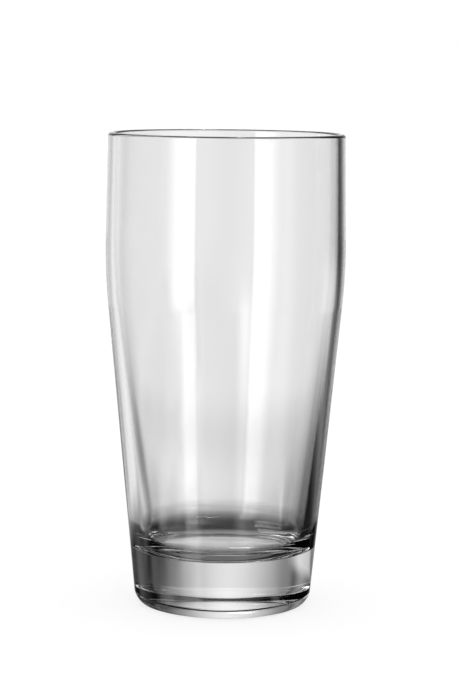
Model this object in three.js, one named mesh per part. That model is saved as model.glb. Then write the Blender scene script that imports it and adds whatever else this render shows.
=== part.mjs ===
// A tapered European beer tumbler for 0.4 litres, one piece of clear soda-lime glass.
// Millimetres, +Z up. The origin is on the table, under the centre of the foot.
import * as THREE from "three";

// The outside of the glass.
const glassHeight = 153.5;
const mouthRadius = 38.3;
const shoulderRadius = 39.12;
const shoulderHeight = 108.6;
const shoulderRounding = 173;
const footRadius = 28.7;
const heelHeight = 1.75;
const heelRounding = 5.1;
const bearingRadius = 27;
const bearingEdgeRounding = 0.5;

// The wall, the cup inside it and the rim.
const rimWall = 2.3;
const shoulderWall = 2.45;
const lowWallHeight = 26.5;
const lowWall = 4.24;
const lowWallRounding = 40;
const floorWall = 5.07;
const floorThickness = 17.4;
const floorRounding = 8.1;
const rimRounding = 1.1;

// The underside, which stands on a flat ring.
const bearingRingWidth = 3;
const recessDepth = 0.3;

// How finely the glass is divided.
const flatsRound = 72;
const roundingSteps = 8;
const recessSteps = 6;

// The largest share of a straight stretch that one rounded corner may use up. The heel and
// the foot of the cup's wall each have a short slope, where one of the two roundings takes
// the greater part and the other takes what is left.
const cornerShare = 0.48;
const greaterShare = 0.79;
const lesserShare = 0.2;

// The outside radius of the flank at a height, before any rounding.
function flankRadiusAt(height) {
  return footRadius + ((shoulderRadius - footRadius) * height) / shoulderHeight;
}

// A corner of the outline: the point where two stretches would meet, and the radius that rounds it.
function corner(radius, height, rounding, share = cornerShare) {
  return { point: new THREE.Vector2(radius, height), rounding, share };
}

// The arc that rounds a corner, tangent to both of its stretches.
function roundedCorner(before, at, after) {
  const back = before.point.clone().sub(at.point);
  const ahead = after.point.clone().sub(at.point);
  const room = at.share * Math.min(back.length(), ahead.length());
  back.normalize();
  ahead.normalize();
  const halfAngle = Math.acos(THREE.MathUtils.clamp(back.dot(ahead), -1, 1)) / 2;
  const tangentLength = Math.min(at.rounding / Math.tan(halfAngle), room);
  const radius = tangentLength * Math.tan(halfAngle);
  const middle = back.clone().add(ahead).normalize();
  const centre = middle.multiplyScalar(radius / Math.sin(halfAngle)).add(at.point);
  const start = back.multiplyScalar(tangentLength).add(at.point).sub(centre);
  const end = ahead.multiplyScalar(tangentLength).add(at.point).sub(centre);
  const turn = Math.atan2(start.cross(end), start.dot(end));
  const points = [];
  for (let step = 0; step <= roundingSteps; step += 1) {
    const swing = (turn * step) / roundingSteps;
    const arm = start.clone().rotateAround(new THREE.Vector2(), swing);
    points.push(arm.add(centre));
  }
  return points;
}

// The recess under the foot, a shallow dome from the centre out to the bearing ring.
function recessOutline(recessRadius) {
  const domeRadius = (recessRadius ** 2 + recessDepth ** 2) / (2 * recessDepth);
  const points = [new THREE.Vector2(0, recessDepth)];
  for (let step = 1; step <= recessSteps; step += 1) {
    const radius = (recessRadius * step) / recessSteps;
    const drop = domeRadius - Math.sqrt(domeRadius ** 2 - radius ** 2);
    points.push(new THREE.Vector2(radius, recessDepth - drop));
  }
  return points;
}

// Half of the glass cut through its axis: the underside, the outside, the rim and the cup.
function glassOutline() {
  const axisFoot = corner(0, 0, 0);
  const bearingEdge = corner(bearingRadius, 0, bearingEdgeRounding, lesserShare);
  const heel = corner(flankRadiusAt(heelHeight), heelHeight, heelRounding, greaterShare);
  const shoulder = corner(shoulderRadius, shoulderHeight, shoulderRounding);
  const rimOutside = corner(mouthRadius, glassHeight, rimRounding);
  const rimInside = corner(mouthRadius - rimWall, glassHeight, rimRounding);
  const innerShoulder = corner(shoulderRadius - shoulderWall, shoulderHeight, shoulderRounding);
  const lowWallRadius = flankRadiusAt(lowWallHeight) - lowWall;
  const innerFlank = corner(lowWallRadius, lowWallHeight, lowWallRounding, lesserShare);
  const floorEdgeRadius = flankRadiusAt(floorThickness) - floorWall;
  const floorEdge = corner(floorEdgeRadius, floorThickness, floorRounding, greaterShare);
  const floorCentre = corner(0, floorThickness, 0);
  const bearingArc = roundedCorner(axisFoot, bearingEdge, heel);
  const recessRadius = bearingArc[0].x - bearingRingWidth;
  return [
    ...recessOutline(recessRadius),
    ...bearingArc,
    ...roundedCorner(bearingEdge, heel, shoulder),
    ...roundedCorner(heel, shoulder, rimOutside),
    ...roundedCorner(shoulder, rimOutside, rimInside),
    ...roundedCorner(rimOutside, rimInside, innerShoulder),
    ...roundedCorner(rimInside, innerShoulder, innerFlank),
    ...roundedCorner(innerShoulder, innerFlank, floorEdge),
    ...roundedCorner(innerFlank, floorEdge, floorCentre),
    floorCentre.point,
  ];
}

// The tumbler, turned about its upright axis.
function makeGlass() {
  const material = new THREE.MeshStandardMaterial({
    color: 0xe6e9e8,
    roughness: 0.03,
    metalness: 0,
    transparent: true,
    opacity: 0.35,
  });
  const glass = new THREE.Mesh(new THREE.LatheGeometry(glassOutline(), flatsRound), material);
  glass.name = "glass";
  glass.rotation.x = Math.PI / 2;
  return glass;
}

const beerGlass = new THREE.Group();
beerGlass.name = "beer_glass";
beerGlass.add(makeGlass());

export default beerGlass;
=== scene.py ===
import math

import bmesh
import bpy
from mathutils import Matrix, Vector


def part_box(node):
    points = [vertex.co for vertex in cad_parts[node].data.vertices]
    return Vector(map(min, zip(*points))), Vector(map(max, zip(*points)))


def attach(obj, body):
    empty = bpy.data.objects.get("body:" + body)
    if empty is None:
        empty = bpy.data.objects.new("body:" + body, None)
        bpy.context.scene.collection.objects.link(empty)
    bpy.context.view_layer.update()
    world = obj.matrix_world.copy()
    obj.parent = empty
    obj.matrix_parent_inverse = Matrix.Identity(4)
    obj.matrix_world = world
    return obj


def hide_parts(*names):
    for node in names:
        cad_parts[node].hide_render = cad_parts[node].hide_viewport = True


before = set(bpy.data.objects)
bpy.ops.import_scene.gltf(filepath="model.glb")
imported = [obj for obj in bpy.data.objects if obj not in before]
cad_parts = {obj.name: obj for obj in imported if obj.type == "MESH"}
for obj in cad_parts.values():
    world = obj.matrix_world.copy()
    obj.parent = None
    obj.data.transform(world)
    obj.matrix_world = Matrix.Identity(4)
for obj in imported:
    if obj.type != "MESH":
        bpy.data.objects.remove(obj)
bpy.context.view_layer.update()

# The tumbler is one piece of clear soda-lime glass, pressed and blown in a mould and then
# fire-polished. Half of its section is drawn as straight stretches that meet at rounded
# corners, and is spun about the upright axis. Lengths are in metres.
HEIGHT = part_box("glass")[1][2]
MOUTH_RADIUS = 0.0383
SHOULDER_RADIUS = 0.03912
SHOULDER_HEIGHT = 0.1086
SHOULDER_ROUNDING = 0.173
FOOT_RADIUS = 0.0287
HEEL_HEIGHT = 0.00175
HEEL_ROUNDING = 0.0051
BEARING_RADIUS = 0.027
BEARING_EDGE_ROUNDING = 0.0005
RECESS_RADIUS = 0.0238
RECESS_DEPTH = 0.0003
RECESS_SHARE = 0.98
RIM_WALL = 0.0023
RIM_ROUNDING = 0.0011
SHOULDER_WALL = 0.00245
LOW_WALL_HEIGHT = 0.0265
LOW_WALL = 0.00424
LOW_WALL_ROUNDING = 0.04
FLOOR_WALL = 0.00507
FLOOR_THICKNESS = 0.0174
FLOOR_ROUNDING = 0.0081
STEPS_ROUND = 288
ROUNDING_STEPS = 16
MERGE_DISTANCE = 1e-7


def round_corner(section, at, rounding):
    """Rounds one corner of the section to a radius, tangent to both of its stretches."""
    sides = [(edge.other_vert(at).co - at.co).normalized() for edge in at.link_edges]
    half_angle = sides[0].angle(sides[1]) / 2
    bmesh.ops.bevel(
        section,
        geom=[at],
        offset=rounding / math.tan(half_angle),
        offset_type="OFFSET",
        segments=ROUNDING_STEPS,
        profile=0.5,
        affect="VERTICES",
        material=-1,
    )


def flank_radius(height):
    """The outside radius of the flank at a height, before any rounding."""
    return FOOT_RADIUS + (SHOULDER_RADIUS - FOOT_RADIUS) * height / SHOULDER_HEIGHT


# The recess is a shallow dome, rounded just short of its centre and of the bearing ring.
dome_radius = (RECESS_RADIUS**2 + RECESS_DEPTH**2) / (2 * RECESS_DEPTH)
corners = [
    (0.0, RECESS_DEPTH, 0.0),
    (RECESS_RADIUS / 2, RECESS_DEPTH, RECESS_SHARE * dome_radius),
    (RECESS_RADIUS, 0.0, 0.0),
    (BEARING_RADIUS, 0.0, BEARING_EDGE_ROUNDING),
    (flank_radius(HEEL_HEIGHT), HEEL_HEIGHT, HEEL_ROUNDING),
    (SHOULDER_RADIUS, SHOULDER_HEIGHT, SHOULDER_ROUNDING),
    (MOUTH_RADIUS, HEIGHT, RIM_ROUNDING),
    (MOUTH_RADIUS - RIM_WALL, HEIGHT, RIM_ROUNDING),
    (SHOULDER_RADIUS - SHOULDER_WALL, SHOULDER_HEIGHT, SHOULDER_ROUNDING),
    (flank_radius(LOW_WALL_HEIGHT) - LOW_WALL, LOW_WALL_HEIGHT, LOW_WALL_ROUNDING),
    (flank_radius(FLOOR_THICKNESS) - FLOOR_WALL, FLOOR_THICKNESS, FLOOR_ROUNDING),
    (0.0, FLOOR_THICKNESS, 0.0),
]
section = bmesh.new()
points = [section.verts.new((radius, 0.0, height)) for radius, height, rounding in corners]
for start, end in zip(points, points[1:]):
    section.edges.new((start, end))
for point, (radius, height, rounding) in zip(points, corners):
    if rounding:
        round_corner(section, point, rounding)
bmesh.ops.spin(
    section,
    geom=section.verts[:] + section.edges[:],
    cent=(0.0, 0.0, 0.0),
    axis=(0.0, 0.0, 1.0),
    angle=2 * math.pi,
    steps=STEPS_ROUND,
    use_merge=True,
)
bmesh.ops.remove_doubles(section, verts=section.verts[:], dist=MERGE_DISTANCE)
bmesh.ops.recalc_face_normals(section, faces=section.faces[:])
for face in section.faces:
    face.smooth = True
glass_mesh = bpy.data.meshes.new("tumbler")
section.to_mesh(glass_mesh)
section.free()
tumbler = bpy.data.objects.new("tumbler", glass_mesh)
bpy.context.collection.objects.link(tumbler)
even_shading = tumbler.modifiers.new("even_shading", "WEIGHTED_NORMAL")
even_shading.mode = "FACE_AREA"

# The glass is clear and colourless, and slightly grey where it is thick. Its skin has the
# faint upright waviness of blown glass.
clear_glass = bpy.data.materials.new("clear_glass")
clear_glass.use_nodes = True
nodes = clear_glass.node_tree.nodes
links = clear_glass.node_tree.links
glass_shader = nodes["Principled BSDF"]
glass_shader.inputs["Base Color"].default_value = (1.0, 1.0, 1.0, 1.0)
glass_shader.inputs["Roughness"].default_value = 0.0
glass_shader.inputs["IOR"].default_value = 1.52
glass_shader.inputs["Transmission Weight"].default_value = 1.0
on_glass = nodes.new("ShaderNodeTexCoord")
stretch = nodes.new("ShaderNodeMapping")
stretch.inputs["Scale"].default_value = (1.0, 1.0, 0.25)
links.new(on_glass.outputs["Object"], stretch.inputs["Vector"])
waves = nodes.new("ShaderNodeTexNoise")
waves.inputs["Scale"].default_value = 90.0
waves.inputs["Detail"].default_value = 1.0
links.new(stretch.outputs["Vector"], waves.inputs["Vector"])
waviness = nodes.new("ShaderNodeBump")
waviness.inputs["Strength"].default_value = 1.0
waviness.inputs["Distance"].default_value = 0.00001
links.new(waves.outputs["Fac"], waviness.inputs["Height"])
links.new(waviness.outputs["Normal"], glass_shader.inputs["Normal"])
thickness_grey = nodes.new("ShaderNodeVolumeAbsorption")
thickness_grey.inputs["Color"].default_value = (0.9, 0.9, 0.9, 1.0)
thickness_grey.inputs["Density"].default_value = 26.0
links.new(thickness_grey.outputs["Volume"], nodes["Material Output"].inputs["Volume"])
glass_mesh.materials.append(clear_glass)
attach(tumbler, "root")
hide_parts("glass")

# The table is a plain pale sheet a hair below the foot. The camera sees it white, with the
# glass's faint shadow. The glass doesn't show it: it shows the glowing sheets on it instead.
TABLE_HALF_WIDTH = 20.0
TABLE_TOP = -0.0002
floor_mesh = bpy.data.meshes.new("floor")
floor_shape = bmesh.new()
bmesh.ops.create_grid(floor_shape, x_segments=1, y_segments=1, size=TABLE_HALF_WIDTH)
bmesh.ops.translate(floor_shape, verts=floor_shape.verts[:], vec=(0.0, 0.0, TABLE_TOP))
floor_shape.to_mesh(floor_mesh)
floor_shape.free()
floor = bpy.data.objects.new("floor", floor_mesh)
bpy.context.collection.objects.link(floor)
table_top = bpy.data.materials.new("table_top")
table_top.use_nodes = True
top_shader = table_top.node_tree.nodes["Principled BSDF"]
top_shader.inputs["Base Color"].default_value = (0.3, 0.3, 0.3, 1.0)
top_shader.inputs["Roughness"].default_value = 1.0
top_shader.inputs["Specular IOR Level"].default_value = 0.0
top_shader.inputs["Emission Color"].default_value = (1.0, 1.0, 1.0, 1.0)
top_shader.inputs["Emission Strength"].default_value = 0.75
floor_mesh.materials.append(table_top)
floor.visible_glossy = False
floor.visible_transmission = False

# Glowing sheets lie on the table at some distance from the glass: one behind it, one behind
# at the left, one at the left and one in front at the right. They show only in the glass.
# Their glow is painted light, standing in for studio light on white sheets. They are cut
# from one disc, which is clear between the sheets and near the glass.
SHEETS_BEGIN = 0.06
SHEETS_END = 60.0
DISC_STEPS = 72
SHEET_LEVEL = 0.9
LEFT_SHEET = -90.0
LEFT_SHEET_LEVEL = 0.5
LEFT_LEVEL_FULL_TO = 20.0
LEFT_LEVEL_NONE_FROM = 35.0
sheets_mesh = bpy.data.meshes.new("glowing_sheets")
sheets_shape = bmesh.new()
nearest = sheets_shape.verts.new((SHEETS_BEGIN, 0.0, 0.0))
farthest = sheets_shape.verts.new((SHEETS_END, 0.0, 0.0))
bmesh.ops.spin(
    sheets_shape,
    geom=[nearest, farthest, sheets_shape.edges.new((nearest, farthest))],
    cent=(0.0, 0.0, 0.0),
    axis=(0.0, 0.0, 1.0),
    angle=2 * math.pi,
    steps=DISC_STEPS,
    use_merge=True,
)
sheets_shape.to_mesh(sheets_mesh)
sheets_shape.free()
sheets = bpy.data.objects.new("glowing_sheets", sheets_mesh)
bpy.context.collection.objects.link(sheets)
sheet_glow = bpy.data.materials.new("sheet_glow")
sheet_glow.use_nodes = True
nodes = sheet_glow.node_tree.nodes
links = sheet_glow.node_tree.links


def arithmetic(operation, first, second=0.0):
    """One step of arithmetic on numbers or sockets, among the nodes at hand; gives its output."""
    node = nodes.new("ShaderNodeMath")
    node.operation = operation
    for socket, value in zip(node.inputs, (first, second)):
        if isinstance(value, (int, float)):
            socket.default_value = value
        else:
            links.new(value, socket)
    return node.outputs[0]


def fade(value, start, end):
    """Falls smoothly from one at the start to nothing at the end."""
    node = nodes.new("ShaderNodeMapRange")
    node.interpolation_type = "SMOOTHSTEP"
    links.new(value, node.inputs["Value"])
    for name, number in (("From Min", start), ("From Max", end), ("To Min", 1.0), ("To Max", 0.0)):
        node.inputs[name].default_value = number
    return node.outputs["Result"]


def off_line(azimuth, middle):
    """How many degrees an azimuth is from a middle one, to either side."""
    turned = arithmetic("MODULO", arithmetic("ADD", azimuth, 540.0 - middle), 360.0)
    return arithmetic("ABSOLUTE", arithmetic("SUBTRACT", turned, 180.0))


def glowing_sheet(middle, full_to, none_from, begins, full_at):
    """One glowing sheet: its direction and half widths in degrees, and the distances in metres
    over which its painted glow rises from nothing to full.
    """
    in_reach = fade(span.outputs["Value"], full_at, begins)
    between_sides = fade(off_line(bearing, middle), full_to, none_from)
    return arithmetic("MULTIPLY", in_reach, between_sides)


# Azimuths are in degrees from straight behind the glass, positive to the right.
on_sheets = nodes.new("ShaderNodeTexCoord")
place = nodes.new("ShaderNodeSeparateXYZ")
links.new(on_sheets.outputs["Object"], place.inputs[0])
bearing = arithmetic("DEGREES", arithmetic("ARCTAN2", place.outputs[0], place.outputs[1]))
span = nodes.new("ShaderNodeVectorMath")
span.operation = "LENGTH"
links.new(on_sheets.outputs["Object"], span.inputs[0])
glowing_sheets = [
    glowing_sheet(0.0, 10.0, 30.0, 0.18, 0.42),
    glowing_sheet(-45.0, 8.0, 22.0, 0.07, 0.15),
    glowing_sheet(LEFT_SHEET, 15.0, 35.0, 0.18, 0.42),
    glowing_sheet(135.0, 15.0, 30.0, 0.06, 0.14),
]
cover = 0.0
for sheet in glowing_sheets:
    cover = arithmetic("MAXIMUM", sheet, cover)
at_left = fade(off_line(bearing, LEFT_SHEET), LEFT_LEVEL_FULL_TO, LEFT_LEVEL_NONE_FROM)
dimming = arithmetic("MULTIPLY", at_left, SHEET_LEVEL - LEFT_SHEET_LEVEL)
# The sheets are unlit and glow instead: their emission is painted light in place of studio light
# falling on white sheets. The left sheet glows dimmer.
sheet_shader = nodes["Principled BSDF"]
sheet_shader.inputs["Base Color"].default_value = (0.0, 0.0, 0.0, 1.0)
sheet_shader.inputs["Specular IOR Level"].default_value = 0.0
sheet_shader.inputs["Emission Color"].default_value = (1.0, 1.0, 1.0, 1.0)
links.new(arithmetic("SUBTRACT", SHEET_LEVEL, dimming), sheet_shader.inputs["Emission Strength"])
links.new(cover, sheet_shader.inputs["Alpha"])
sheets_mesh.materials.append(sheet_glow)
sheets.visible_camera = False
sheets.visible_diffuse = False
sheets.visible_shadow = False

# The studio is plain white for the camera and for the light on the table. The glass shows
# soft boards on a nearly dark surround instead. Their places, fades and levels were fitted
# to the reflections and the dark lines that the photograph shows in the glass.
DARK_SURROUND = 0.012
world = bpy.data.worlds.new("studio")
bpy.context.scene.world = world
world.use_nodes = True
nodes = world.node_tree.nodes
links = world.node_tree.links
nodes.clear()
surroundings = nodes.new("ShaderNodeTexCoord")
direction = nodes.new("ShaderNodeSeparateXYZ")
links.new(surroundings.outputs["Generated"], direction.inputs[0])
azimuth = arithmetic("DEGREES", arithmetic("ARCTAN2", direction.outputs[0], direction.outputs[1]))
elevation = arithmetic("DEGREES", arithmetic("ARCSINE", direction.outputs[2]))


def board(left, right, left_fade, right_fade, low, high, low_fade, high_fade, brightness):
    """A board with soft edges: its sides' azimuths and its ends' elevations, in degrees.

    Each fade is the half width over which that edge falls off.
    """
    middle = (left + right) / 2
    turned = arithmetic("MODULO", arithmetic("ADD", azimuth, 540.0 - middle), 360.0)
    aside = arithmetic("SUBTRACT", turned, 180.0)
    past_left = fade(aside, left - middle + left_fade, left - middle - left_fade)
    before_right = fade(aside, right - middle - right_fade, right - middle + right_fade)
    over_foot = fade(elevation, low + low_fade, low - low_fade)
    under_top = fade(elevation, high - high_fade, high + high_fade)
    across = arithmetic("MULTIPLY", past_left, before_right)
    upright = arithmetic("MULTIPLY", over_foot, under_top)
    return arithmetic("MULTIPLY", arithmetic("MULTIPLY", across, upright), brightness)


# A wide white board stands behind the glass, with a softer strip under it.
behind = [
    board(-22.6, 13.8, 22.1, 17.0, -11.4, 52.1, 7.2, 4.0, 1.04),
    board(-13.9, 14.3, 1.6, 19.2, -17.9, -11.5, 15.0, 1.1, 0.52),
]
# At the left are three pale boards and a low bright strip.
left_side = [
    board(-37.5, -36.0, 3.5, 10.6, -13.6, 28.4, 1.4, 4.8, 0.32),
    board(-65.5, -43.5, 21.5, 8.5, -25.3, 37.1, 2.5, 5.3, 0.41),
    board(-86.8, -38.8, 7.3, 3.7, -9.5, -11.6, 7.9, 2.6, 1.32),
    board(-115.0, -72.0, 10.0, 10.0, -3.0, 30.0, 3.0, 8.0, 0.50),
]
# At the right are a low pale strip and three boards that are nearly as dark as the rest.
right_side = [
    board(39.5, 67.9, 5.0, 8.1, -14.7, -7.6, 1.8, 2.5, 0.86),
    board(45.7, 74.0, 6.7, 6.1, -7.9, 30.7, 1.7, 5.0, 0.05),
    board(31.8, 38.9, 3.2, 2.3, -10.6, 31.4, 1.6, 5.0, 0.08),
    board(17.9, 31.5, 5.9, 1.8, -5.8, 43.3, 3.0, 5.0, 0.08),
]
# In front at the left stands a tall bright lamp, with a short one under it.
left_lamp = [
    board(-149.8, -127.4, 1.0, 11.0, -15.9, 45.5, 3.0, 5.1, 3.37),
    board(-149.7, -135.1, 1.1, 4.0, -22.4, -17.2, 0.4, 2.0, 3.13),
]
# In front at the right stand a narrow tall lamp, a wide one below it, a bright one at the
# foot and a short one farther to the side.
right_lamp = [
    board(154.0, 154.2, 4.2, 4.0, -3.9, 47.1, 1.3, 5.2, 1.20),
    board(149.0, 173.8, 3.1, 16.1, -18.2, 1.1, 1.4, 12.1, 0.98),
    board(148.7, 163.2, 7.5, 7.3, -22.9, -14.5, 1.4, 5.1, 3.15),
    board(118.3, 136.4, 6.9, 6.6, -0.6, 21.1, 1.6, 5.3, 1.40),
]
# Lights below the level of the table light the base. They stand in for the table top, which
# the glass doesn't show.
below_table = [
    board(-132.5, -133.7, 9.5, 10.0, -62.9, -39.3, 3.2, 3.1, 4.81),
    board(116.0, 168.2, 8.6, 9.4, -63.6, -55.2, 3.7, 3.2, 10.85),
    board(83.1, 274.8, 20.3, 20.6, -26.1, -24.5, 3.8, 1.4, 2.99),
    board(-116.8, -88.1, 10.9, 8.4, -23.5, -22.0, 0.9, 1.8, 3.33),
    board(97.1, 106.3, 2.5, 10.2, -23.5, -22.7, 0.4, 1.0, 4.96),
    board(-102.7, -67.0, 7.6, 7.2, -18.4, -17.1, 0.9, 3.1, 1.74),
    board(-152.6, -120.4, 5.1, 10.9, -24.9, -22.6, 0.4, 0.5, 2.28),
    board(-200.0, 200.0, 1.0, 1.0, -88.3, -49.0, 1.0, 3.0, 0.13),
]
seen_in_glass = DARK_SURROUND
for lit_board in behind + left_side + right_side + left_lamp + right_lamp + below_table:
    seen_in_glass = arithmetic("ADD", lit_board, seen_in_glass)
light_path = nodes.new("ShaderNodeLightPath")
through_glass = arithmetic(
    "MAXIMUM", light_path.outputs["Is Glossy Ray"], light_path.outputs["Is Transmission Ray"]
)
plain_white = arithmetic("SUBTRACT", 1.0, through_glass)
brightness = arithmetic("ADD", plain_white, arithmetic("MULTIPLY", through_glass, seen_in_glass))
background = nodes.new("ShaderNodeBackground")
background.inputs["Color"].default_value = (1.0, 1.0, 1.0, 1.0)
links.new(brightness, background.inputs["Strength"])
output = nodes.new("ShaderNodeOutputWorld")
links.new(background.outputs[0], output.inputs["Surface"])

# The camera stands where the photograph was taken from, a little higher than the mouth. It
# looks slightly down, and is turned and rolled by less than a degree. Lengths are in metres.
CAMERA_DISTANCE = 0.7175
CAMERA_HEIGHT = 0.1772
LENS_PIXELS = 2217.5
PHOTO_LONG_SIDE = 675
SENSOR_MILLIMETRES = 36.0
TURNED_DOWN = math.radians(7.1653)
TURNED_ASIDE = math.radians(-0.1077)
ROLLED = math.radians(0.6221)
camera_data = bpy.data.cameras.new("camera")
camera_data.sensor_fit = "AUTO"
camera_data.sensor_width = SENSOR_MILLIMETRES
camera_data.lens = LENS_PIXELS * SENSOR_MILLIMETRES / PHOTO_LONG_SIDE
camera = bpy.data.objects.new("camera", camera_data)
bpy.context.collection.objects.link(camera)
turned = (
    Matrix.Rotation(TURNED_ASIDE, 4, "Z")
    @ Matrix.Rotation(math.pi / 2 - TURNED_DOWN, 4, "X")
    @ Matrix.Rotation(ROLLED, 4, "Z")
)
camera.matrix_world = Matrix.Translation(Vector((0.0, -CAMERA_DISTANCE, CAMERA_HEIGHT))) @ turned
bpy.context.scene.camera = camera
bpy.context.scene.view_settings.view_transform = "Standard"
